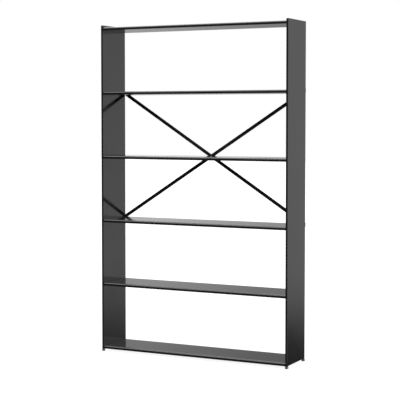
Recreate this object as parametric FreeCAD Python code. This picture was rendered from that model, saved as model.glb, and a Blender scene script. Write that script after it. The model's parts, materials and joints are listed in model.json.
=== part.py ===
import FreeCAD, Part
import math
import os

# A free-standing steel bookcase: two slim hollow side panels, six thin box-section
# shelves, a pair of flat bars crossing at the back, and four screw-in levelling feet.
# The top and bottom shelves are fixed and hold the frame together. The four shelves
# between them drop onto short flat-topped supports that plug into rows of holes.
#
# Frame: +X to the right, +Y to the back, +Z up, millimetres.
# Origin: the centre of the footprint, on the floor.

os.makedirs("parts", exist_ok=True)

V = FreeCAD.Vector

# ---------------------------------------------------------------- driving sizes
overall_width = 1200.0      # outer face to outer face of the side panels
panel_depth = 262.0         # front edge to back edge of a side panel
panel_thickness = 12.0
panel_sheet = 1.2           # sheet of the panel's shell, skin and channels
panel_corner = 3.0          # corner radius of the panel's outline
panel_bend = 1.5            # outer bend radius along the panel's outline

shelf_count = 6
shelf_thickness = 18.0
shelf_sheet = 1.0
shelf_bend = 8.0            # outer bend radius along a shelf's front and back edges
shelf_front_setback = 1.0   # the shelves stand this far behind the panel's front edge
shelf_back_setback = 5.0    # room for the brace's rivet behind the shelves
shelf_end_gap = 1.5         # between a shelf's end and the panel

hole_pitch = 38.0           # between neighbouring support holes
steps_per_bay = 10          # hole pitches from one shelf to the next
steps_each_way = 2          # spare holes above and below each shelf's own hole
column_inset = 37.0         # from the panel's front and back edges to the holes
top_reveal = 12.0           # the panels stand this far above the top shelf

support_diameter = 5.0      # spigot that plugs into the panel
support_depth = 8.0         # how far the spigot reaches into the panel
support_chamfer = 0.6       # round the spigot's tip
tab_diameter = 7.0          # round tab that the shelf sits on
tab_flat_height = 2.0       # the flat on the tab, above its axis
collar_diameter = 9.0
collar_thickness = 0.8
pocket_side_clearance = 0.4  # beside the tab, in the shelf's end
pocket_end_clearance = 1.7  # past the tab's end

end_bar_width = 10.0        # solid bar inside each end of a shelf
rib_width = 30.0            # channel-shaped ribs inside a shelf
rib_count = 2
rib_sheet = 0.8
rib_end_gap = 0.5

stud_diameter = 6.0         # threaded studs that carry the two fixed shelves
lock_screw_diameter = 4.0
lock_screw_head_diameter = 6.6
lock_screw_head_height = 2.0
lock_screw_key = 2.5        # across the flats of its socket
lock_screw_recess = 0.5     # from the shelf's underside up to the screw's head
lock_screw_cover = 0.5      # of the end bar, left above the screw's hole
tapped_end_room = 0.3       # left past the end of a screw in a blind hole

channel_width = 24.0        # upright channels inside a side panel
block_height = 30.0         # solid blocks in the top and bottom of a side panel

foot_height = 16.0
foot_diameter = 20.0
foot_edge_radius = 5.0
foot_inset = 8.0            # from the panel's front and back edges to the foot's axis
foot_gap = 0.3              # between the foot's collar and the panel, screwed home
foot_stud_diameter = 6.0
foot_stud_engagement = 26.0  # thread inside the panel, screwed home
foot_stud_chamfer = 0.8
hex_across_flats = 17.0
hex_height = 4.0
hex_gap = 0.2               # between the hex collar and the pad
stud_head_diameter = 10.0
stud_head_height = 3.0
stud_head_base = 6.0        # floor of the stud's seat, above the ground
swivel_clearance = 0.1

bar_width = 20.0
bar_thickness = 3.0
bar_end_drop = 3.0          # the bars' fixings lie this far below a shelf's top face
bar_trim = 0.5              # the bars' ends stop this far inside the panel's face
brace_screw_diameter = 5.0
brace_head_diameter = 9.5
brace_head_height = 2.7
brace_key = 3.0             # across the flats of the brace screws' sockets
brace_screw_end_room = 1.0  # from a brace screw's tip to the end of its block
nut_block_height = 20.0
nut_block_depth = 12.0
spacer_diameter = 12.0
rivet_diameter = 6.0
rivet_head_diameter = 11.0
rivet_front_head_height = 2.0
head_rounding = 0.75        # share of a screw's or rivet's head that is rounded over
socket_share = 0.6          # how deep a key socket goes, as a share of the head

thread_clearance = 0.05     # radial, round a thread or a spigot in its hole
screw_hole_clearance = 0.25  # radial, round a screw in a plain hole
fit_gap = 0.2               # round a piece that lies inside a folded shell
overcut = 1.0               # how far a cutting tool runs past the face it opens
near = 0.01                 # edges closer than this to a face belong to it

# ------------------------------------------------------------- derived positions
bay_pitch = steps_per_bay * hole_pitch
panel_height = shelf_thickness + (shelf_count - 1) * bay_pitch + top_reveal
panel_bottom = foot_height
panel_top = panel_bottom + panel_height

outer_x = overall_width / 2
inner_x = outer_x - panel_thickness
middle_x = outer_x - panel_thickness / 2

# The footprint runs from the feet's front to the heads of the brace's screws.
front_overhang = foot_diameter / 2 - foot_inset
back_overhang = 2 * bar_thickness + brace_head_height
front_y = -(panel_depth + back_overhang - front_overhang) / 2
back_y = front_y + panel_depth
column_ys = (front_y + column_inset, back_y - column_inset)
foot_ys = {"front": front_y + foot_inset, "back": back_y - foot_inset}

shelf_end_x = inner_x - shelf_end_gap
shelf_front_y = front_y + shelf_front_setback
shelf_back_y = back_y - shelf_back_setback
cavity_x = shelf_end_x - shelf_sheet
bar_inner_x = cavity_x - end_bar_width
lock_x = bar_inner_x + end_bar_width / 2

# A tab's axis stands just high enough for a screw's head below it, and its end stops
# short of the pocket's. The screw's thread uses what is left of the end bar above.
tab_length = inner_x - collar_thickness - bar_inner_x - pocket_end_clearance
tab_axis_height = tab_diameter / 2 + lock_screw_head_height + lock_screw_recess
lock_screw_grip = (shelf_thickness - shelf_sheet - tab_axis_height - tab_flat_height
                   - tapped_end_room - lock_screw_cover)

block_bottom = panel_bottom + panel_sheet
block_top = panel_top - panel_sheet


def shelf_top(index):
    """Height of a shelf's top face; index 0 is the bottom shelf."""
    return panel_bottom + index * bay_pitch + shelf_thickness


def shelf_underside(index):
    return shelf_top(index) - shelf_thickness


def tab_axis(index):
    """Height of the axis of the supports or studs that carry a shelf."""
    return shelf_underside(index) + tab_axis_height


def tab_seat(index):
    """Height of the flats that a shelf rests on."""
    return tab_axis(index) + tab_flat_height


# ------------------------------------------------------------------ small helpers
def block(x0, x1, y0, y1, z0, z1):
    """A box between two corners, whichever way round the X ends are given."""
    low, high = min(x0, x1), max(x0, x1)
    return Part.makeBox(high - low, y1 - y0, z1 - z0, V(low, y0, z0))


def rod(radius, start, end):
    """A round bar from one point to another."""
    axis = end.sub(start)
    return Part.makeCylinder(radius, axis.Length, start, axis)


def edges_along(shape, direction):
    """The straight edges of a shape that run along one axis."""
    found = []
    for edge in shape.Edges:
        if len(edge.Vertexes) != 2:
            continue
        run = edge.Vertexes[1].Point.sub(edge.Vertexes[0].Point)
        if run.Length > 0 and abs(abs(run.normalize().dot(direction)) - 1) < 1e-6:
            found.append(edge)
    return found


def edges_at(shape, axis, value):
    """All edges that lie in the plane where x or y has the given value."""
    found = []
    for edge in shape.Edges:
        box = edge.BoundBox
        low, high = {"x": (box.XMin, box.XMax), "y": (box.YMin, box.YMax)}[axis]
        if abs(low - value) < near and abs(high - value) < near:
            found.append(edge)
    return found


def rounded_block(x0, x1, y0, y1, z0, z1, direction, radius):
    """A box whose four edges along one direction are rounded."""
    shape = block(x0, x1, y0, y1, z0, z1)
    return shape.makeFillet(radius, edges_along(shape, direction))


def drilled(shape, tools):
    """The shape with a list of holes cut from it."""
    return shape.cut(Part.makeCompound(tools))


def mirrored(shape):
    """The same piece for the other side of the bookcase."""
    return shape.mirror(V(0, 0, 0), V(1, 0, 0))


def both_sides(right_hand_solids):
    """Right-hand solids and their left-hand twins, as one list."""
    return right_hand_solids + [mirrored(solid) for solid in right_hand_solids]


def group(solids):
    return Part.makeCompound(solids)


def check_solid(name, shape):
    if not shape.isValid():
        raise RuntimeError(name + " is not a valid shape")
    if not shape.Solids:
        raise RuntimeError(name + " has no solid")


def save(name, shape):
    """Write one sub-part, as a solid or as a group of separate solids."""
    check_solid(name, shape)
    solids = shape.Solids
    kept = solids[0] if len(solids) == 1 else Part.makeCompound(solids)
    kept.exportStep("parts/" + name + ".step")
    print("%-28s solids %2d  volume %10.0f mm3" % (name, len(solids), kept.Volume))


# --------------------------------------------------------------------- side panel
def support_axes():
    """Heights of every support hole: a short row about each loose shelf's place."""
    heights = []
    for index in range(1, shelf_count - 1):
        for step in range(-steps_each_way, steps_each_way + 1):
            heights.append(tab_axis(index) + step * hole_pitch)
    return heights


def stud_axes():
    """Heights of the studs that carry the bottom and the top shelf."""
    return [tab_axis(index) for index in (0, shelf_count - 1)]


def panel_holes(radius, heights):
    """Holes across a right-hand panel's inner face, in both columns."""
    holes = []
    for y in column_ys:
        for z in heights:
            deep_end = V(inner_x + support_depth + overcut, y, z)
            holes.append(rod(radius, V(inner_x - overcut, y, z), deep_end))
    return holes


def brace_fixings():
    """Heights at which the brace's bars are screwed to the panels' back edges."""
    lower = shelf_top(1) if shelf_count < 5 else shelf_top(shelf_count - 4)
    upper = shelf_top(shelf_count - 2)
    return lower - bar_end_drop, upper - bar_end_drop


def panel_shell():
    """The outer face with its four edges folded inwards, open towards the shelves."""
    x_axis = V(1, 0, 0)
    shell = rounded_block(inner_x, outer_x, front_y, back_y, panel_bottom, panel_top,
                          x_axis, panel_corner)
    shell = shell.makeFillet(panel_bend, edges_at(shell, "x", outer_x))
    hollow = rounded_block(inner_x - overcut, outer_x - panel_sheet,
                           front_y + panel_sheet, back_y - panel_sheet,
                           block_bottom, block_top, x_axis, panel_corner - panel_sheet)
    shell = shell.cut(hollow)
    holes = []
    radius = foot_stud_diameter / 2 + screw_hole_clearance
    for y in foot_ys.values():
        holes.append(rod(radius, V(middle_x, y, panel_bottom - overcut),
                         V(middle_x, y, block_bottom + overcut)))
    radius = brace_screw_diameter / 2 + screw_hole_clearance
    for z in brace_fixings():
        holes.append(rod(radius, V(middle_x, back_y + overcut, z),
                         V(middle_x, back_y - panel_sheet - overcut, z)))
    return drilled(shell, holes)


def panel_skin():
    """The flat sheet that closes the panel on the shelf side, with all its holes."""
    edge = panel_sheet + fit_gap
    skin = rounded_block(inner_x, inner_x + panel_sheet, front_y + edge, back_y - edge,
                         panel_bottom + edge, panel_top - edge, V(1, 0, 0), panel_corner - edge)
    holes = panel_holes(support_diameter / 2 + thread_clearance, support_axes())
    holes += panel_holes(stud_diameter / 2 + thread_clearance, stud_axes())
    return drilled(skin, holes)


def panel_channels():
    """Upright channels behind the rows of holes; they keep the two sheets apart."""
    web_x = inner_x + panel_sheet
    far_x = outer_x - panel_sheet
    channels = []
    for y in column_ys:
        outside = block(web_x, far_x, y - channel_width / 2, y + channel_width / 2,
                        block_bottom + block_height, block_top - block_height)
        bends = [edge for edge in edges_along(outside, V(0, 0, 1)) if edge.BoundBox.XMax < web_x + near]
        outside = outside.makeFillet(panel_bend, bends)
        inside = block(web_x + panel_sheet, far_x + overcut,
                       y - channel_width / 2 + panel_sheet, y + channel_width / 2 - panel_sheet,
                       panel_bottom, panel_top)
        holes = panel_holes(support_diameter / 2 + thread_clearance, support_axes())
        channels.append(drilled(outside.cut(inside), holes))
    return channels


def panel_block(z0, z1):
    """A solid block between the two sheets, with the studs' threaded holes."""
    edge = panel_sheet + fit_gap
    solid = rounded_block(inner_x + panel_sheet, outer_x - panel_sheet, front_y + edge, back_y - edge,
                          z0, z1, V(1, 0, 0), panel_corner - panel_sheet + fit_gap)
    holes = panel_holes(stud_diameter / 2 + thread_clearance, stud_axes())
    return drilled(solid, holes)


def foot_block():
    """The bottom block, which also takes the threads of the two feet."""
    holes = []
    deep_end = panel_bottom + foot_stud_engagement + tapped_end_room
    radius = foot_stud_diameter / 2 + thread_clearance
    for y in foot_ys.values():
        holes.append(rod(radius, V(middle_x, y, panel_bottom), V(middle_x, y, deep_end)))
    return drilled(panel_block(block_bottom, block_bottom + block_height), holes)


# ------------------------------------------------------------------------ shelves
def end_pockets(index):
    """The slots in a shelf's right-hand end that drop over the two tabs."""
    half = tab_diameter / 2 + pocket_side_clearance
    low = shelf_underside(index) - overcut
    seat = tab_seat(index)
    return [block(bar_inner_x, shelf_end_x + overcut, y - half, y + half, low, seat) for y in column_ys]


def all_pockets(index):
    return both_sides(end_pockets(index))


def shelf_stretch(x0, x1, inset, low, high):
    """A straight stretch of a shelf's section, moved in from its front and back edges."""
    solid = block(x0, x1, shelf_front_y + inset, shelf_back_y - inset, low, high)
    bends = [edge for edge in edges_along(solid, V(1, 0, 0)) if edge.BoundBox.ZMin > high - near]
    return solid.makeFillet(shelf_bend - inset, bends)


def shelf_shell(index):
    """The top face, rolled down to a lip at the front and back and closed at its ends."""
    low, high = shelf_underside(index), shelf_top(index)
    shell = shelf_stretch(-shelf_end_x, shelf_end_x, 0, low, high)
    hollow = shelf_stretch(-cavity_x, cavity_x, shelf_sheet, low - overcut, high - shelf_sheet)
    return drilled(shell.cut(hollow), all_pockets(index))


def shelf_bottom_plate(index):
    """The flat plate that closes the shelf from below, flush with its lips."""
    low = shelf_underside(index)
    edge = shelf_sheet + fit_gap
    plate = block(edge - shelf_end_x, shelf_end_x - edge, shelf_front_y + edge, shelf_back_y - edge,
                  low, low + shelf_sheet)
    return drilled(plate, all_pockets(index))


def shelf_end_bars(index, locked):
    """Solid bars in the shelf's two ends; their pockets rest on the tabs."""
    low, high = shelf_underside(index), shelf_top(index)
    edge = shelf_sheet + fit_gap
    bar = shelf_stretch(bar_inner_x, cavity_x, edge, low + shelf_sheet, high - shelf_sheet)
    cuts = end_pockets(index)
    if locked:
        bottom = tab_seat(index) - overcut
        top = tab_seat(index) + lock_screw_grip + tapped_end_room
        radius = lock_screw_diameter / 2 + thread_clearance
        for y in column_ys:
            cuts.append(rod(radius, V(lock_x, y, bottom), V(lock_x, y, top)))
    return both_sides([drilled(bar, cuts)])


def shelf_ribs(index):
    """Evenly spaced channels along the shelf, between its top and its bottom plate."""
    low = shelf_underside(index) + shelf_sheet
    high = shelf_top(index) - shelf_sheet
    half = bar_inner_x - rib_end_gap
    spacing = (shelf_back_y - shelf_front_y) / (rib_count + 1)
    ribs = []
    for number in range(1, rib_count + 1):
        near_y = shelf_front_y + number * spacing - rib_width / 2
        far_y = near_y + rib_width
        outside = block(-half, half, near_y, far_y, low, high)
        inside = block(-half - overcut, half + overcut, near_y + rib_sheet, far_y - rib_sheet,
                       low + rib_sheet, high + overcut)
        ribs.append(outside.cut(inside))
    return ribs


# ------------------------------------------------------------ supports and screws
def tab(y, z):
    """The part of a support that the shelf sits on: a collar and a flat-topped rod."""
    collar = rod(collar_diameter / 2, V(inner_x - collar_thickness, y, z), V(inner_x, y, z))
    start = inner_x - collar_thickness
    round_tab = rod(tab_diameter / 2, V(start - tab_length, y, z), V(start, y, z))
    above = block(start - tab_length - overcut, start, y - tab_diameter, y + tab_diameter,
                  z + tab_flat_height, z + tab_diameter)
    return collar.fuse(round_tab.cut(above))


def support(y, z):
    """A loose shelf support: a plain spigot, a collar and the tab."""
    tip_x = inner_x + support_depth
    spigot = rod(support_diameter / 2, V(inner_x, y, z), V(tip_x, y, z))
    tip = [edge for edge in spigot.Edges if edge.BoundBox.XMin > tip_x - near]
    spigot = spigot.makeChamfer(support_chamfer, tip)
    return spigot.fuse(tab(y, z)).removeSplitter()


def stud(y, z):
    """A fixed shelf's stud: threaded, with a hole down through its tab."""
    thread = rod(stud_diameter / 2, V(inner_x, y, z), V(inner_x + support_depth, y, z))
    solid = thread.fuse(tab(y, z)).removeSplitter()
    radius = lock_screw_diameter / 2 + screw_hole_clearance
    return solid.cut(rod(radius, V(lock_x, y, z - tab_diameter), V(lock_x, y, z + tab_diameter)))


def lock_screw(y, index):
    """A cap screw from below, up through a stud's tab into the shelf's end bar."""
    head_top = tab_axis(index) - tab_diameter / 2
    head_base = head_top - lock_screw_head_height
    tip = V(lock_x, y, tab_seat(index) + lock_screw_grip)
    shank = rod(lock_screw_diameter / 2, V(lock_x, y, head_top), tip)
    head = rod(lock_screw_head_diameter / 2, V(lock_x, y, head_base), V(lock_x, y, head_top))
    socket = hexagon(lock_screw_key, lock_x, y, head_base, lock_screw_head_height * socket_share)
    return shank.fuse(head).removeSplitter().cut(socket)


def hexagon(across_flats, x, y, z, height):
    """An upright hexagonal prism."""
    radius = across_flats / math.sqrt(3)
    corners = []
    for turn in range(6):
        angle = math.radians(60 * turn)
        corners.append(V(x + radius * math.cos(angle), y + radius * math.sin(angle), z))
    corners.append(corners[0])
    return Part.Face(Part.makePolygon(corners)).extrude(V(0, 0, height))


# -------------------------------------------------------------------------- feet
def foot_pad(x, y):
    """The moulded foot, hollow in the middle where the stud's head turns."""
    top = panel_bottom - foot_gap - hex_height - hex_gap
    body = Part.makeCylinder(foot_diameter / 2, top, V(x, y, 0))
    rim = [edge for edge in body.Edges if edge.BoundBox.ZMax < near]
    body = body.makeFillet(foot_edge_radius, rim)
    seat_height = stud_head_height + swivel_clearance
    seat = Part.makeCylinder(stud_head_diameter / 2 + swivel_clearance, seat_height,
                             V(x, y, stud_head_base))
    bore = Part.makeCylinder(foot_stud_diameter / 2 + swivel_clearance, foot_height,
                             V(x, y, stud_head_base))
    return body.cut(seat.fuse(bore))


def foot_stud(x, y):
    """The threaded stud: a head that swivels in the pad, a hex collar and a thread."""
    head = Part.makeCylinder(stud_head_diameter / 2, stud_head_height, V(x, y, stud_head_base))
    end = panel_bottom + foot_stud_engagement
    shank = Part.makeCylinder(foot_stud_diameter / 2, end - stud_head_base, V(x, y, stud_head_base))
    tip = [edge for edge in shank.Edges if edge.BoundBox.ZMin > end - near]
    shank = shank.makeChamfer(foot_stud_chamfer, tip)
    collar = hexagon(hex_across_flats, x, y, panel_bottom - foot_gap - hex_height, hex_height)
    return head.fuse([shank, collar]).removeSplitter()


# ------------------------------------------------------------------------- brace
def brace_bar(rising, near_y):
    """One flat bar across the back; its ends are trimmed to the panels' faces."""
    lower, upper = brace_fixings()
    rise = upper - lower
    run = 2 * middle_x
    angle = math.degrees(math.atan2(rise, run)) * (-1 if rising else 1)
    centre = V(0, near_y, (lower + upper) / 2)
    length = math.hypot(rise, run) + 2 * bar_width
    bar = Part.makeBox(length, bar_thickness, bar_width,
                       V(-length / 2, near_y, centre.z - bar_width / 2))
    bar.rotate(centre, V(0, 1, 0), angle)
    limit = outer_x - bar_trim
    bar = bar.common(block(-limit, limit, near_y, near_y + bar_thickness, 0, panel_top))
    left_z, right_z = (lower, upper) if rising else (upper, lower)
    screw_hole = brace_screw_diameter / 2 + screw_hole_clearance
    holes = []
    for x, z, radius in ((-middle_x, left_z, screw_hole), (0, centre.z, rivet_diameter / 2),
                         (middle_x, right_z, screw_hole)):
        holes.append(rod(radius, V(x, near_y - overcut, z), V(x, near_y + bar_thickness + overcut, z)))
    return drilled(bar, holes)


def button_head(x, z, diameter, seat_y, height):
    """A low domed head on a face at seat_y; a negative height points it to the front."""
    crown_y = seat_y + height
    head = rod(diameter / 2, V(x, seat_y, z), V(x, crown_y, z))
    return head.makeFillet(abs(height) * head_rounding, edges_at(head, "y", crown_y))


def brace_rivet():
    """The rivet where the bars cross, with a low head on each side."""
    lower, upper = brace_fixings()
    z = (lower + upper) / 2
    far_y = back_y + 2 * bar_thickness
    shank = rod(rivet_diameter / 2, V(0, back_y, z), V(0, far_y, z))
    front = button_head(0, z, rivet_head_diameter, back_y, -rivet_front_head_height)
    back = button_head(0, z, rivet_head_diameter, far_y, brace_head_height)
    return shank.fuse([front, back]).removeSplitter()


def brace_ends():
    """Where the four screws go: x, height, and the face that each head bears on."""
    lower, upper = brace_fixings()
    near = back_y + bar_thickness
    far = back_y + 2 * bar_thickness
    return [(-middle_x, lower, near), (middle_x, upper, near),
            (-middle_x, upper, far), (middle_x, lower, far)]


def brace_screw(x, z, head_y):
    """A button-head screw from the back into a nut block in the panel's edge."""
    tip_y = back_y - panel_sheet - nut_block_depth + brace_screw_end_room
    shank = rod(brace_screw_diameter / 2, V(x, tip_y, z), V(x, head_y, z))
    head = button_head(x, z, brace_head_diameter, head_y, brace_head_height)
    socket = hexagon(brace_key, 0, 0, 0, brace_head_height * socket_share)
    socket.rotate(V(0, 0, 0), V(1, 0, 0), 90)
    socket.translate(V(x, head_y + brace_head_height, z))
    return shank.fuse(head).removeSplitter().cut(socket)


def brace_spacer(x, z):
    """A thick washer that carries the rear bar level past the front one."""
    radius = brace_screw_diameter / 2 + screw_hole_clearance
    far_y = back_y + bar_thickness
    ring = rod(spacer_diameter / 2, V(x, back_y, z), V(x, far_y, z))
    return ring.cut(rod(radius, V(x, back_y - overcut, z), V(x, far_y + overcut, z)))


def nut_block(x, z):
    """A tapped block inside the panel's back edge."""
    half = panel_thickness / 2 - panel_sheet
    near_y = back_y - panel_sheet - nut_block_depth
    solid = block(x - half, x + half, near_y, back_y - panel_sheet,
                  z - nut_block_height / 2, z + nut_block_height / 2)
    radius = brace_screw_diameter / 2 + thread_clearance
    return solid.cut(rod(radius, V(x, near_y - overcut, z), V(x, back_y, z)))


# ------------------------------------------------------------------ write the parts
right_pieces = {
    "panel_shell": panel_shell(),
    "panel_inner_skin": panel_skin(),
    "panel_channels": group(panel_channels()),
    "panel_top_block": panel_block(block_top - block_height, block_top),
    "panel_foot_block": foot_block(),
}
for piece, shape in right_pieces.items():
    save("right_" + piece, shape)
    save("left_" + piece, mirrored(shape))

shelf_names = ["bottom_shelf"]
for number in range(shelf_count - 1, 1, -1):
    shelf_names.append("shelf_%d" % number)
shelf_names.append("top_shelf")

for index, name in enumerate(shelf_names):
    fixed = index in (0, shelf_count - 1)
    save(name, shelf_shell(index))
    save(name + "_bottom_plate", shelf_bottom_plate(index))
    save(name + "_end_bars", group(shelf_end_bars(index, fixed)))
    save(name + "_ribs", group(shelf_ribs(index)))
    if fixed:
        save(name + "_studs", group(both_sides([stud(y, tab_axis(index)) for y in column_ys])))
        save(name + "_screws", group(both_sides([lock_screw(y, index) for y in column_ys])))
    else:
        save(name + "_supports", group(both_sides([support(y, tab_axis(index)) for y in column_ys])))

for side, x in (("left", -middle_x), ("right", middle_x)):
    for end, y in foot_ys.items():
        save("%s_%s_foot_pad" % (side, end), foot_pad(x, y))
        save("%s_%s_foot_stud" % (side, end), foot_stud(x, y))

save("brace_front_bar", brace_bar(True, back_y))
save("brace_back_bar", brace_bar(False, back_y + bar_thickness))
save("brace_rivet", brace_rivet())
save("brace_screws", group([brace_screw(x, z, head_y) for x, z, head_y in brace_ends()]))
save("brace_spacers", group([brace_spacer(x, z) for x, z, head_y in brace_ends()
                             if head_y > back_y + bar_thickness]))
save("brace_nut_blocks", group([nut_block(x, z) for x, z, head_y in brace_ends()]))
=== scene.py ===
# %% [markdown]
# # A black steel bookcase with adjustable shelves
# The bookcase is folded sheet steel under a smooth black lacquer. Its shape is simple,
# so nearly all of its look comes from how the lacquer mirrors the room: shelf tops
# seen at a low angle turn almost white, and faces seen square on stay almost black.
# The steel parts come from the frame and keep their shape. This file gives them their
# finishes, models the moulded feet and their threaded studs, and sets up the studio.

# %% Load the frame
import json
import math

import bpy
from mathutils import Matrix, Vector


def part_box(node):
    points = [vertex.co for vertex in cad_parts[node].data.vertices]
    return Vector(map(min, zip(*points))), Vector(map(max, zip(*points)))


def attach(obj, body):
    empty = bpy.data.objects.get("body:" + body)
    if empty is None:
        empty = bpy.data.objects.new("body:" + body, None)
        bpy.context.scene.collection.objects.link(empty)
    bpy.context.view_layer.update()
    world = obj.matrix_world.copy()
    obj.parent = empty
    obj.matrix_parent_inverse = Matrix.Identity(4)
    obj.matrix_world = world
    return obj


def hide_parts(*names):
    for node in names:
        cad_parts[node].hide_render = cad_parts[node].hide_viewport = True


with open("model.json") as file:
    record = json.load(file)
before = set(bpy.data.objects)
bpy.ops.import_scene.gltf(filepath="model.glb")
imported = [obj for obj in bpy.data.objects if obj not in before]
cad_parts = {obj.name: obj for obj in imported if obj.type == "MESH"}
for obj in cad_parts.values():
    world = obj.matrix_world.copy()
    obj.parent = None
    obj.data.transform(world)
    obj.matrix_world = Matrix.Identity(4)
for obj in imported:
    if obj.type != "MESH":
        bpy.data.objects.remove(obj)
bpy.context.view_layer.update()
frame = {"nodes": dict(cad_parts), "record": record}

# %% [markdown]
# ## Sizes to work from
# Everything is placed from the frame's own boxes. A millimetre is named once, because
# the frame is in metres while a maker thinks of sheet, threads and scratches in
# millimetres.

# %% Sizes
MM = 0.001
panel_low, panel_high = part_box("right_panel_shell")
floor_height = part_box("left_front_foot_pad")[0].z
panel_size = (panel_high - panel_low) / MM
print("side panel %.0f mm deep, %.0f mm high" % (panel_size.y, panel_size.z))

# %% [markdown]
# ## Two helpers for materials
# Colours are chosen as sRGB hex values, as on a colour card, and a shader wants them
# linear, so one function turns one into the other. The second adds a node, sets its
# properties, and fills each input with a number or with a link from another node.

# %% Colour and node helpers
def linear(card):
    """An sRGB hex colour as the linear RGBA that a shader works in."""
    channels = [int(card[i:i + 2], 16) / 255 for i in (1, 3, 5)]
    return (*[c / 12.92 if c <= 0.04045 else ((c + 0.055) / 1.055) ** 2.4 for c in channels], 1.0)


def add_node(tree, kind, inputs=None, **settings):
    """Adds a node, sets its properties, and fills its inputs with values or links."""
    node = tree.nodes.new("ShaderNode" + kind)
    for name, value in settings.items():
        setattr(node, name, value)
    for name, value in (inputs or {}).items():
        if isinstance(value, bpy.types.NodeSocket):
            tree.links.new(value, node.inputs[name])
        else:
            node.inputs[name].default_value = value
    return node


# %% [markdown]
# ## The camera
# A product view from the right and from above the middle of the bookcase, so that the
# lower shelves show their tops and the top shelf its underside. A long lens from
# seven metres away keeps the uprights nearly parallel. It is tilted down by less than
# three degrees and shifted a little, which keeps the uprights nearly upright in the
# view. The shift stays small.

# %% Camera
CAMERA_PLACE = (3.1596, -6.3091, 1.3945)
CAMERA_TURN = 26.673       # degrees to the left of straight ahead
CAMERA_TILT = 2.908        # degrees below level
LENS = 108.834             # focal length in millimetres
SHIFT = -0.05              # of the frame's width
SENSOR_WIDTH = 36          # millimetres

camera_data = bpy.data.cameras.new("product_camera")
camera_data.lens = LENS
camera_data.sensor_width = SENSOR_WIDTH
camera_data.shift_y = SHIFT
camera = bpy.data.objects.new("product_camera", camera_data)
camera.location = CAMERA_PLACE
camera.rotation_euler = (math.radians(90 - CAMERA_TILT), 0, math.radians(CAMERA_TURN))
bpy.context.scene.collection.objects.link(camera)
bpy.context.scene.camera = camera
print("camera %.2f m from the origin" % camera.location.length)

# %% [markdown]
# ## The studio
# A gloss black object shows its surroundings more than itself, so the surroundings are
# designed first. Behind the bookcase a bright backdrop stands on the horizon and gets
# dimmer as it rises: that gives the shelf tops their run from almost white at eye
# level to mid grey near the floor. To the right the room is an even soft grey, which
# the side panels mirror, and the left has a grey card. In front of the bookcase the
# room is dark, so the thin front edges stay black, and a big soft box overhead draws a
# soft line along their rolled tops. It could be built from many lamps and cards; a
# world shader that works from the direction of each ray makes the same room with less
# noise. The lens itself looks at plain white paper.

# %% World
LOW, HIGH = -0.25, 0.25     # the band about the horizon that the ramps describe, as a sine
STRIP_LIGHT = 5.0           # brightness of the strip light, the card and the soft box;
LEFT_CARD = 0.6             # white paper is one
SOFT_BOX = 4.5


def grey(level):
    """A neutral colour of the given linear brightness."""
    return (level, level, level, 1.0)


def ramp(tree, value, low, high, stops):
    """A brightness that follows a value through a list of (value, brightness) stops."""
    share = add_node(tree, "MapRange", {0: value, 1: low, 2: high, 3: 0.0, 4: 1.0}).outputs[0]
    node = add_node(tree, "ValToRGB", {0: share})
    ends = node.color_ramp.elements
    for element, (place, level) in zip((ends[0], ends[1]), (stops[0], stops[-1])):
        element.position = (place - low) / (high - low)
        element.color = grey(level)
    for place, level in stops[1:-1]:
        ends.new((place - low) / (high - low)).color = grey(level)
    return node.outputs[0]


def blend_in(tree, share, first, second):
    """The first colour, turning into the second as the share goes from nought to one."""
    return add_node(tree, "Mix", {0: share, 6: first, 7: second}, data_type="RGBA").outputs[2]


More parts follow.
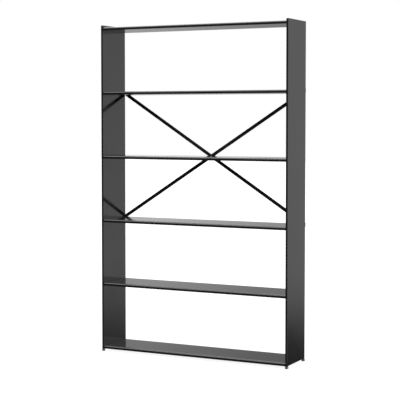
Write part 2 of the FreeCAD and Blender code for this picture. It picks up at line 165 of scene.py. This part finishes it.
def soft_room(world):
    """Light from all round: bright behind the bookcase, dark in front of it."""
    world.use_nodes = True
    tree = world.node_tree
    tree.nodes.clear()
    direction = add_node(tree, "TexCoord").outputs["Generated"]
    x, y, z = add_node(tree, "SeparateXYZ", {0: direction}).outputs

    # The backdrop: brightest at the horizon, dimmer above it and towards the right.
    backdrop = ramp(tree, z, LOW, HIGH, (
        (-0.25, 0.40), (-0.14, 0.40), (-0.10, 0.42), (-0.065, 0.50), (-0.03, 0.80), (0.0, 1.1),
        (0.045, 1.2), (0.065, 0.9), (0.087, 0.64), (0.14, 0.53), (0.19, 0.42), (0.25, 0.38)))
    dimming = ramp(tree, x, -1.0, 1.0, (
        (-1.0, 0.8), (-0.60, 1.0), (-0.48, 1.0), (-0.40, 0.66), (-0.25, 0.5), (1.0, 0.5)))
    backdrop = add_node(tree, "Mix", {0: 1.0, 6: backdrop, 7: dimming}, data_type="RGBA",
                        blend_type="MULTIPLY").outputs[2]

    # The right-hand wall: grey that stops short of the floor and dims towards the back.
    wall = ramp(tree, z, LOW, HIGH, (
        (-0.25, 0.01), (-0.205, 0.03), (-0.195, 0.08), (-0.18, 0.12), (-0.165, 0.40),
        (-0.15, 0.70), (-0.13, 0.85), (0.25, 0.90)))
    nearer = ramp(tree, x, 0.0, 1.0, ((0.0, 0.7), (0.375, 0.72), (0.51, 0.95), (0.7, 1.0),
                                      (1.0, 1.0)))
    wall = add_node(tree, "Mix", {0: 1.0, 6: wall, 7: nearer}, data_type="RGBA",
                    blend_type="MULTIPLY").outputs[2]
    to_right = add_node(tree, "MapRange", {0: x, 1: -0.1, 2: 0.25, 3: 0.0, 4: 1.0},
                        interpolation_type="SMOOTHSTEP").outputs[0]
    room = blend_in(tree, to_right, backdrop, wall)

    # A tall strip light beside the bookcase: it draws the thin bright lines along folds.
    strip = ramp(tree, y, -1.0, 1.0, ((-1.0, 0.0), (-0.6, 0.0), (-0.5, 1.0), (-0.1, 1.0),
                                      (0.05, 0.0), (1.0, 0.0)))
    beside = add_node(tree, "MapRange", {0: x, 1: 0.3, 2: 0.6, 3: 0.0, 4: 1.0}).outputs[0]
    strip = add_node(tree, "Math", {0: strip, 1: beside}, operation="MULTIPLY").outputs[0]

    # The front: dark at the height of the bookcase, dim grey higher up.
    front = ramp(tree, z, -1.0, 1.0, ((-1.0, 0.2), (-0.4, 0.10), (-0.1, 0.04), (0.08, 0.04),
                                      (0.22, 0.5), (0.45, 0.7), (1.0, 0.7)))
    to_front = add_node(tree, "MapRange", {0: y, 1: 0.15, 2: -0.25, 3: 0.0, 4: 1.0},
                        interpolation_type="SMOOTHSTEP").outputs[0]
    room = blend_in(tree, to_front, room, front)
    room = blend_in(tree, strip, room, grey(STRIP_LIGHT))

    # The left-hand wall: a plain grey card, so that side has a gloss of its own.
    card = add_node(tree, "MapRange", {0: x, 1: -0.72, 2: -0.84, 3: 0.0, 4: 1.0},
                    interpolation_type="SMOOTHSTEP").outputs[0]
    room = blend_in(tree, card, room, grey(LEFT_CARD))

    # The ceiling: one big soft box, mirrored by the rolled front edges of the shelves.
    overhead = add_node(tree, "MapRange", {0: z, 1: 0.42, 2: 0.52, 3: 0.0, 4: 1.0},
                        interpolation_type="SMOOTHSTEP").outputs[0]
    room = blend_in(tree, overhead, room, grey(SOFT_BOX))

    lit = add_node(tree, "Background", {0: room, 1: 1.0})
    paper = add_node(tree, "Background", {0: grey(1.0), 1: 1.0})
    seen = add_node(tree, "LightPath").outputs["Is Camera Ray"]
    shown = add_node(tree, "MixShader", {0: seen, 1: lit.outputs[0], 2: paper.outputs[0]})
    add_node(tree, "OutputWorld", {0: shown.outputs[0]})


world = bpy.data.worlds.new("soft_room")
soft_room(world)
bpy.context.scene.world = world
bpy.context.scene.view_settings.view_transform = "Standard"

# %% [markdown]
# ## The floor
# The floor is pale paper, so bright that it nearly disappears, with only a soft
# darkening where the feet stand. Paper lit by lamps alone would shade off unevenly, so
# most of its brightness is its own glow. It is kept out of the reflections, because
# the world already says what the lacquer sees below the horizon.

# %% Floor
FLOOR_SIZE = 60.0
GLOW_SHARE = 0.9            # how much of the floor's brightness is its own light

bpy.ops.object.select_all(action="DESELECT")
bpy.ops.mesh.primitive_plane_add(size=FLOOR_SIZE, location=(0, 0, floor_height))
floor = bpy.context.object
floor.name = "paper_floor"
paper = bpy.data.materials.new("white_paper")
paper.use_nodes = True
paper_tree = paper.node_tree
paper_tree.nodes.clear()
fibres = add_node(paper_tree, "TexNoise", {"Scale": 1 / (3 * MM), "Detail": 3.0})
tone = add_node(paper_tree, "Mix", {0: fibres.outputs[0], 6: linear("#f4f4f4"),
                                    7: linear("#fafafa")}, data_type="RGBA")
matt = add_node(paper_tree, "BsdfDiffuse", {0: tone.outputs[2]})
glow = add_node(paper_tree, "Emission", {0: grey(1.0), 1: 1.02})
blend = add_node(paper_tree, "MixShader", {0: GLOW_SHARE, 1: matt.outputs[0], 2: glow.outputs[0]})
add_node(paper_tree, "OutputMaterial", {0: blend.outputs[0]})
floor.data.materials.append(paper)
floor.visible_glossy = False
floor.visible_diffuse = False

# %% [markdown]
# ## Black lacquer
# The panels, shelves and brace are sprayed with a smooth semi-gloss lacquer over steel.
# Sprayed lacquer is never quite flat: it dries with a fine skin like orange peel, a
# millimetre or so across, and a hand's wipe leaves the gloss a little uneven. Along
# the folds the coat is thin and rubs to a duller grey. They could be painted on each
# sheet by hand. Here all three come from patterns in the object's own coordinates, so
# they stay put when a shelf is lifted, and no two shelves are marked alike.

# %% Lacquer
PEEL = 1.4 * MM            # width of one bump of the orange peel
SMEAR = 160 * MM           # width of a wiped patch
WEAR = 0.9 * MM            # how far wear reaches in from an edge
WORN_PATCH = 22 * MM       # length of a worn patch along an edge
WORN_DULLNESS = 0.25       # how much rougher the worn lacquer is


def pattern_space(tree):
    """The object's own coordinates, in metres."""
    return add_node(tree, "TexCoord").outputs["Object"]


def worn_edge(tree, reach, patch):
    """One along the edges of a piece, in patches, and nought elsewhere."""
    rounded = add_node(tree, "Bevel", {0: reach}, samples=4).outputs[0]
    true = add_node(tree, "NewGeometry").outputs["Normal"]
    match = add_node(tree, "VectorMath", {0: rounded, 1: true},
                     operation="DOT_PRODUCT").outputs["Value"]
    edge = add_node(tree, "MapRange", {0: match, 1: 0.99, 2: 0.86, 3: 0.0, 4: 1.0}).outputs[0]
    spots = add_node(tree, "TexNoise", {"Vector": pattern_space(tree), "Scale": 1 / patch,
                                        "Detail": 4.0})
    broken = add_node(tree, "MapRange", {0: spots.outputs[0], 1: 0.42, 2: 0.68, 3: 0.0,
                                         4: 1.0}).outputs[0]
    return add_node(tree, "Math", {0: edge, 1: broken}, operation="MULTIPLY").outputs[0]


def black_lacquer(name, deep, thin, worn, gloss, smear=SMEAR):
    """Semi-gloss black lacquer on steel; gloss is its lowest and highest roughness."""
    material = bpy.data.materials.new(name)
    material.use_nodes = True
    tree = material.node_tree
    tree.nodes.clear()
    space = pattern_space(tree)
    cloud = add_node(tree, "TexNoise", {"Vector": space, "Scale": 1 / smear, "Detail": 5.0,
                                        "Roughness": 0.55})
    wipe = add_node(tree, "MapRange", {0: cloud.outputs[0], 1: 0.3, 2: 0.7, 3: gloss[0],
                                       4: gloss[1]})
    coat = add_node(tree, "Mix", {0: cloud.outputs[0], 6: linear(deep), 7: linear(thin)},
                    data_type="RGBA")
    rubbed = worn_edge(tree, WEAR, WORN_PATCH)
    colour = add_node(tree, "Mix", {0: rubbed, 6: coat.outputs[2], 7: linear(worn)},
                      data_type="RGBA")
    dull = add_node(tree, "Math", {0: rubbed, 1: WORN_DULLNESS, 2: wipe.outputs[0]},
                    operation="MULTIPLY_ADD")
    peel = add_node(tree, "TexNoise", {"Vector": space, "Scale": 1 / PEEL, "Detail": 1.0})
    skin = add_node(tree, "Bump", {"Strength": 0.06, "Distance": 0.05 * MM,
                                   "Height": peel.outputs[0]})
    shader = add_node(tree, "BsdfPrincipled", {
        "Base Color": colour.outputs[2], "Roughness": dull.outputs[0], "Normal": skin.outputs[0]})
    shader.inputs["IOR"].default_value = 1.5
    add_node(tree, "OutputMaterial", {0: shader.outputs[0]})
    return material


panel_lacquer = black_lacquer("black_lacquer_on_side_panels", "#0e0e0f", "#151516", "#333335",
                              (0.10, 0.16))
shelf_lacquer = black_lacquer("black_lacquer_on_shelves", "#0e0e0f", "#151516", "#333335",
                              (0.09, 0.14))
brace_lacquer = black_lacquer("black_lacquer_on_brace", "#0b0b0c", "#111112", "#303032",
                              (0.24, 0.34), 60 * MM)

# %% [markdown]
# ## Bare and plated steel
# Inside the panels and shelves the steel is only zinc coated: dull grey, with the
# faint crystal spangle of hot-dip zinc. The shelf supports are turned and nickel
# plated, bright with fine rings from the lathe. Screws and studs are black oxide, a
# thin dark skin on steel that still shines like metal. Painted images could show all
# this; Voronoi cells for the crystals and a wave for the rings need no image and fit
# a part of any size.

# %% Steels
def zinc_coated_steel(name):
    """Hot-dip zinc: crystals some millimetres across, each a slightly different grey."""
    material = bpy.data.materials.new(name)
    material.use_nodes = True
    tree = material.node_tree
    tree.nodes.clear()
    space = pattern_space(tree)
    spangle = add_node(tree, "TexVoronoi", {"Vector": space, "Scale": 1 / (7 * MM)})
    zinc = add_node(tree, "Mix", {0: spangle.outputs["Color"], 6: linear("#8f9296"),
                                  7: linear("#a9acaf")}, data_type="RGBA")
    bloom = add_node(tree, "MapRange", {0: spangle.outputs["Distance"], 1: 0.0, 2: 0.8, 3: 0.38,
                                        4: 0.52})
    fine = add_node(tree, "TexNoise", {"Vector": space, "Scale": 1 / (0.8 * MM), "Detail": 2.0})
    skin = add_node(tree, "Bump", {"Strength": 0.1, "Distance": 0.03 * MM,
                                   "Height": fine.outputs[0]})
    shader = add_node(tree, "BsdfPrincipled", {
        "Base Color": zinc.outputs[2], "Roughness": bloom.outputs[0], "Normal": skin.outputs[0]})
    shader.inputs["Metallic"].default_value = 1.0
    add_node(tree, "OutputMaterial", {0: shader.outputs[0]})
    return material


def turned_steel(name, deep, bright, metal, gloss, ring=0.25 * MM):
    """Steel turned on a lathe and then plated or blackened."""
    material = bpy.data.materials.new(name)
    material.use_nodes = True
    tree = material.node_tree
    tree.nodes.clear()
    space = pattern_space(tree)
    # The bands cross X, the axis of the shelf supports. They lie six times the given
    # size apart, coarser than a lathe leaves them, because real ones wouldn't show.
    rings = add_node(tree, "TexWave", {"Vector": space, "Scale": 1 / (20 * ring), "Distortion": 0.6,
                                       "Detail": 2.0}, bands_direction="X")
    cloud = add_node(tree, "TexNoise", {"Vector": space, "Scale": 1 / (4 * MM), "Detail": 4.0})
    colour = add_node(tree, "Mix", {0: cloud.outputs[0], 6: linear(deep), 7: linear(bright)},
                      data_type="RGBA")
    rough = add_node(tree, "MapRange", {0: cloud.outputs[0], 1: 0.3, 2: 0.7, 3: gloss[0],
                                        4: gloss[1]})
    skin = add_node(tree, "Bump", {"Strength": 0.15, "Distance": 0.02 * MM,
                                   "Height": rings.outputs[0]})
    shader = add_node(tree, "BsdfPrincipled", {
        "Base Color": colour.outputs[2], "Roughness": rough.outputs[0], "Normal": skin.outputs[0]})
    shader.inputs["Metallic"].default_value = metal
    add_node(tree, "OutputMaterial", {0: shader.outputs[0]})
    return material


zinc_steel = zinc_coated_steel("zinc_coated_steel")
nickel_steel = turned_steel("nickel_plated_turned_steel", "#b3aea6", "#cdc9c2", 1.0, (0.16, 0.28))
oxide_steel = turned_steel("black_oxide_steel", "#2a2a2c", "#3b3b3e", 0.7, (0.28, 0.42))
print("three steels:", zinc_steel.name, nickel_steel.name, oxide_steel.name)

# %% [markdown]
# ## Moulded nylon
# The feet are moulded in dark grey glass-filled nylon. Out of a polished mould it has a
# shine, with a very fine cloudiness where the filling comes near the skin. It could be
# one plain colour, but close up the clouds and a fine grain are what tell a moulding
# from paint, so two noises draw them.

# %% Nylon
def moulded_nylon(name):
    """Glass-filled nylon out of a polished mould."""
    material = bpy.data.materials.new(name)
    material.use_nodes = True
    tree = material.node_tree
    tree.nodes.clear()
    space = pattern_space(tree)
    cloud = add_node(tree, "TexNoise", {"Vector": space, "Scale": 1 / (2.5 * MM), "Detail": 5.0})
    colour = add_node(tree, "Mix", {0: cloud.outputs[0], 6: linear("#434346"),
                                    7: linear("#525256")}, data_type="RGBA")
    rough = add_node(tree, "MapRange", {0: cloud.outputs[0], 1: 0.3, 2: 0.7, 3: 0.16, 4: 0.3})
    grain = add_node(tree, "TexNoise", {"Vector": space, "Scale": 1 / (0.3 * MM), "Detail": 2.0})
    skin = add_node(tree, "Bump", {"Strength": 0.08, "Distance": 0.02 * MM,
                                   "Height": grain.outputs[0]})
    shader = add_node(tree, "BsdfPrincipled", {
        "Base Color": colour.outputs[2], "Roughness": rough.outputs[0], "Normal": skin.outputs[0]})
    shader.inputs["IOR"].default_value = 1.53
    add_node(tree, "OutputMaterial", {0: shader.outputs[0]})
    return material


nylon = moulded_nylon("moulded_grey_nylon")
print("nylon for the feet:", nylon.name)

# %% [markdown]
# ## Dressing the steel parts
# The parts could be given their finishes one by one. Here each part of the frame gets
# the finish that its record slot names, so a piece can't be missed: the loop stops if
# a slot has no finish here.

# %% Finishes by slot
FINISHES = {
    "panel_lacquer": panel_lacquer,
    "shelf_lacquer": shelf_lacquer,
    "brace_lacquer": brace_lacquer,
    "inner_steel": zinc_steel,
    "plated_steel": nickel_steel,
    "black_screws": oxide_steel,
    "foot_plastic": nylon,
}
for part in frame["record"]["subparts"]:
    node = frame["nodes"][part["node"]]
    node.data.materials.clear()
    node.data.materials.append(FINISHES[part["material_slot"]])

# %% [markdown]
# ## The moulded feet
# Each side panel stands on two levelling feet. A foot is a nylon button, twenty
# millimetres across, that swivels on the head of a threaded stud. A button like this
# comes out of a round mould: a dished base, so that only a ring touches the floor, a
# rounded edge, a band of flutes for the fingers, and a socket that the stud's head
# snaps into. It could be spun from a drawn outline; here a disc is extruded ring by
# ring, as it would be turned, because each ring keeps its real radius and height.

# %% Turning helper
ROUND_SIDES = 64
SMOOTH_BELOW = math.radians(32)     # edges flatter than this are shaded smooth


def turn(name, axis, rings, sides=ROUND_SIDES):
    """A piece round an upright axis, through (radius, height) rings, closed at its ends."""
    bpy.ops.object.select_all(action="DESELECT")
    radius, height = rings[0]
    bpy.ops.mesh.primitive_circle_add(vertices=sides, radius=radius, fill_type="NGON",
                                      location=(axis.x, axis.y, height))
    piece = bpy.context.object
    piece.name = name
    bpy.ops.object.mode_set(mode="EDIT")
    bpy.ops.mesh.select_mode(type="FACE")
    bpy.ops.mesh.select_all(action="SELECT")
    for next_radius, next_height in rings[1:]:
        rise = (0, 0, next_height - height)
        bpy.ops.mesh.extrude_region_move(TRANSFORM_OT_translate={"value": rise})
        share = next_radius / radius
        bpy.ops.transform.resize(value=(share, share, 1),
                                 center_override=(axis.x, axis.y, next_height))
        radius, height = next_radius, next_height
    bpy.ops.mesh.select_all(action="SELECT")
    bpy.ops.mesh.normals_make_consistent(inside=False)
    bpy.ops.object.mode_set(mode="OBJECT")
    bpy.ops.object.transform_apply(location=True, rotation=True, scale=True)
    return piece


def arc(radius, height, bend, start, end, steps):
    """Rings round a quarter bend; angles in degrees from straight down to outwards."""
    angles = [math.radians(start + (end - start) * step / steps) for step in range(steps + 1)]
    return [(radius + bend * math.sin(a), height - bend * math.cos(a)) for a in angles]


# %% Moulded button
pad_low, pad_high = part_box("left_front_foot_pad")
stud_low, stud_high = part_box("left_front_foot_stud")
foot_axis = (pad_low + pad_high) / 2
pad_radius = (pad_high.x - pad_low.x) / 2
EDGE = 5 * MM               # rounded edge of the base
RIM = 0.5 * MM              # rounded top edge
SWIVEL_RADIUS = 5.1 * MM    # socket for the stud's head
SWIVEL_TOP = stud_low.z + 3.2 * MM
THROAT_RADIUS = 3.15 * MM   # opening that the stud's neck comes through
DISH = 3.6 * MM             # radius of the hollow in the base

button_rings = [(DISH - 0.8 * MM, pad_low.z + 0.6 * MM), (DISH, pad_low.z)]
button_rings += arc(pad_radius - EDGE, pad_low.z + EDGE, EDGE, 0, 90, 10)
button_rings += [(pad_radius, pad_low.z + EDGE + 0.4 * MM), (pad_radius, pad_high.z - 1.2 * MM)]
button_rings += arc(pad_radius - RIM, pad_high.z - RIM, RIM, 90, 180, 4)
button_rings += [(THROAT_RADIUS + 1.6 * MM, pad_high.z),
                 (THROAT_RADIUS + 1.2 * MM, pad_high.z - 0.4 * MM),
                 (THROAT_RADIUS, pad_high.z - 0.4 * MM), (THROAT_RADIUS, SWIVEL_TOP),
                 (SWIVEL_RADIUS, SWIVEL_TOP), (SWIVEL_RADIUS, stud_low.z)]
button = turn("left_front_foot_button", foot_axis, button_rings)

# Sixteen shallow flutes: pairs of faces in the straight band, pressed in a little.
FLUTE_DEPTH = 0.35 * MM
FLUTE_EDGE = 0.18 * MM
band_low, band_high = pad_low.z + EDGE + 0.4 * MM, pad_high.z - 1.2 * MM
FLUTES = 16
faces_per_flute = ROUND_SIDES // FLUTES
for face in button.data.polygons:
    middle = face.center
    turned = math.degrees(math.atan2(middle.y - foot_axis.y, middle.x - foot_axis.x)) % 360
    place = int(turned / (360 / ROUND_SIDES)) % faces_per_flute
    in_band = band_low < middle.z < band_high and math.hypot(
        middle.x - foot_axis.x, middle.y - foot_axis.y) > pad_radius - 0.2 * MM
    face.select = in_band and place < 2
flutes = sum(face.select for face in button.data.polygons) // 2
bpy.ops.object.mode_set(mode="EDIT")
bpy.ops.mesh.inset(thickness=FLUTE_EDGE, depth=-FLUTE_DEPTH, use_even_offset=True)
bpy.ops.object.mode_set(mode="OBJECT")
bpy.ops.object.shade_smooth_by_angle(angle=SMOOTH_BELOW)
print("button with", flutes, "flutes and", len(button.data.polygons), "faces")

# %% [markdown]
# ## The threaded studs
# The stud is steel: a round head that the button holds, a short neck, a hexagon for a
# spanner, and an M6 thread that goes up into the panel. Its core is turned like the
# button. The hexagon's corners are chamfered at thirty degrees as they are on a bought
# nut. A bevel would round all twelve edges alike, so instead a hexagonal prism is cut
# by a turned blank, which takes off only the corners, as a lathe does.

# %% Turned core and hexagon
HEAD_RADIUS = 5.0 * MM
HEAD_HEIGHT = 3.0 * MM
CHAMFER = 0.4 * MM
NECK_RADIUS = 2.95 * MM
CORE_RADIUS = 2.3 * MM
hex_flats = min(stud_high.x - stud_low.x, stud_high.y - stud_low.y)
HEX_HEIGHT = 4.0 * MM
hex_low = pad_high.z + 0.2 * MM
hex_high = hex_low + HEX_HEIGHT

stud = turn("left_front_foot_thread", foot_axis, [
    (HEAD_RADIUS - CHAMFER, stud_low.z), (HEAD_RADIUS, stud_low.z + CHAMFER),
    (HEAD_RADIUS, stud_low.z + HEAD_HEIGHT - CHAMFER),
    (HEAD_RADIUS - CHAMFER, stud_low.z + HEAD_HEIGHT), (NECK_RADIUS, stud_low.z + HEAD_HEIGHT),
    (NECK_RADIUS, hex_low + 0.5 * MM), (CORE_RADIUS, hex_low + 0.5 * MM),
    (CORE_RADIUS, stud_high.z - 0.6 * MM), (CORE_RADIUS - 0.6 * MM, stud_high.z)])

chamfer_radius = 0.95 * hex_flats / 2
corner_radius = hex_flats / math.sqrt(3)
blank_radius = corner_radius + 0.1 * MM
chamfer_slope = math.tan(math.radians(30))
slope = (blank_radius - chamfer_radius) * chamfer_slope
past = 0.2 * MM             # the blank runs past the prism, so that no two faces coincide
end_radius = chamfer_radius - past / chamfer_slope
blank = turn("blank", foot_axis, [
    (end_radius, hex_low - past), (blank_radius, hex_low + slope),
    (blank_radius, hex_high - slope), (end_radius, hex_high + past)])
bpy.ops.object.select_all(action="DESELECT")
corners_on_x = stud_high.x - stud_low.x > stud_high.y - stud_low.y
bpy.ops.mesh.primitive_cylinder_add(vertices=6, radius=corner_radius, depth=hex_high - hex_low,
                                    location=(foot_axis.x, foot_axis.y, (hex_low + hex_high) / 2),
                                    rotation=(0, 0, math.radians(30) if corners_on_x else 0))
hexagon = bpy.context.object
bpy.ops.object.transform_apply(location=True, rotation=True, scale=True)
cut = hexagon.modifiers.new("chamfers", "BOOLEAN")
cut.operation = "INTERSECT"
cut.solver = "EXACT"
cut.object = blank
bpy.ops.object.modifier_apply(modifier=cut.name)
bpy.data.objects.remove(blank)
print("hexagon %.1f mm across its flats, %d faces" % (hex_flats / MM, len(hexagon.data.polygons)))

# %% [markdown]
# A thread could be a stack of rings, but then it would have no start and wouldn't
# climb. This one is a real helix: four points draw one turn's outline, the Screw
# modifier sweeps it round and up, and both ends are cut square and closed.

# %% Helical thread
PITCH = 1.0 * MM
CREST_RADIUS = 2.95 * MM
ROOT_RADIUS = 2.42 * MM
CREST_FLAT = PITCH / 8
STEPS_PER_TURN = 24
thread_low = hex_high - 0.5 * MM
whole_turns = math.floor((stud_high.z - thread_low) / PITCH - 0.5)
thread_high = thread_low + whole_turns * PITCH
# The sweep starts a little over a turn lower, so that no corner lies just on a cut.
sweep_start = thread_low - PITCH - PITCH / (4 * STEPS_PER_TURN)
bpy.ops.object.select_all(action="DESELECT")
bpy.ops.mesh.primitive_plane_add(size=PITCH, location=(foot_axis.x, foot_axis.y, sweep_start))
thread = bpy.context.object
bpy.ops.object.mode_set(mode="EDIT")
bpy.ops.mesh.select_mode(type="VERT")
bpy.ops.mesh.select_all(action="SELECT")
bpy.ops.mesh.merge(type="CENTER")
bpy.ops.transform.translate(value=(ROOT_RADIUS, 0, 0))
flank = (PITCH - CREST_FLAT) / 2
for step in ((CREST_RADIUS - ROOT_RADIUS, 0, flank), (0, 0, CREST_FLAT),
             (ROOT_RADIUS - CREST_RADIUS, 0, flank)):
    bpy.ops.mesh.extrude_vertices_move(TRANSFORM_OT_translate={"value": step})
bpy.ops.object.mode_set(mode="OBJECT")
sweep = thread.modifiers.new("sweep", "SCREW")
sweep.angle = math.radians(360)
sweep.screw_offset = PITCH
sweep.iterations = whole_turns + 3
sweep.steps = sweep.render_steps = STEPS_PER_TURN
sweep.use_merge_vertices = True
sweep.merge_threshold = 0.01 * MM
bpy.ops.object.modifier_apply(modifier=sweep.name)
bpy.ops.object.mode_set(mode="EDIT")
bpy.ops.mesh.select_all(action="SELECT")
bpy.ops.mesh.remove_doubles(threshold=0.01 * MM)
for height, keep_above in ((thread_low, True), (thread_high, False)):
    bpy.ops.mesh.select_all(action="SELECT")
    bpy.ops.mesh.bisect(plane_co=(foot_axis.x, foot_axis.y, height), plane_no=(0, 0, 1),
                        use_fill=True, clear_inner=keep_above, clear_outer=not keep_above,
                        threshold=0.001 * MM)
bpy.ops.mesh.select_all(action="SELECT")
bpy.ops.mesh.normals_make_consistent(inside=False)
bpy.ops.object.mode_set(mode="OBJECT")
bpy.ops.object.transform_apply(location=True, rotation=True, scale=True)

bpy.ops.object.select_all(action="DESELECT")
for item in (thread, hexagon, stud):
    item.select_set(True)
bpy.context.view_layer.objects.active = stud
bpy.ops.object.join()
bpy.ops.object.shade_smooth_by_angle(angle=SMOOTH_BELOW)
print("M6 thread of", whole_turns, "turns; stud has", len(stud.data.polygons), "faces")

# %% [markdown]
# ## A foot at each corner
# The other three feet are copies, each with its own mesh moved to its own corner, so
# that a foot can be changed or exported alone. Each button and stud rides on its
# foot's body and stands for the plain solid there.

# %% Copies and riding
button.data.materials.clear()
button.data.materials.append(nylon)
stud.data.materials.clear()
stud.data.materials.append(oxide_steel)
for side in ("left", "right"):
    for end in ("front", "back"):
        foot = "%s_%s_foot" % (side, end)
        low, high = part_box(foot + "_pad")
        shift = (low + high) / 2 - foot_axis
        for model, new_end, cad_end, slot in ((button, "_button", "_pad", "foot_plastic"),
                                              (stud, "_thread", "_stud", "black_screws")):
            piece = model
            if shift.length > MM:
                piece = model.copy()
                piece.data = model.data.copy()
                piece.data.transform(Matrix.Translation(shift))
                bpy.context.scene.collection.objects.link(piece)
                piece.name = foot + new_end
            piece.data.name = foot + new_end
            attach(piece, foot)
            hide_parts(foot + cad_end)
print("eight foot pieces in place")
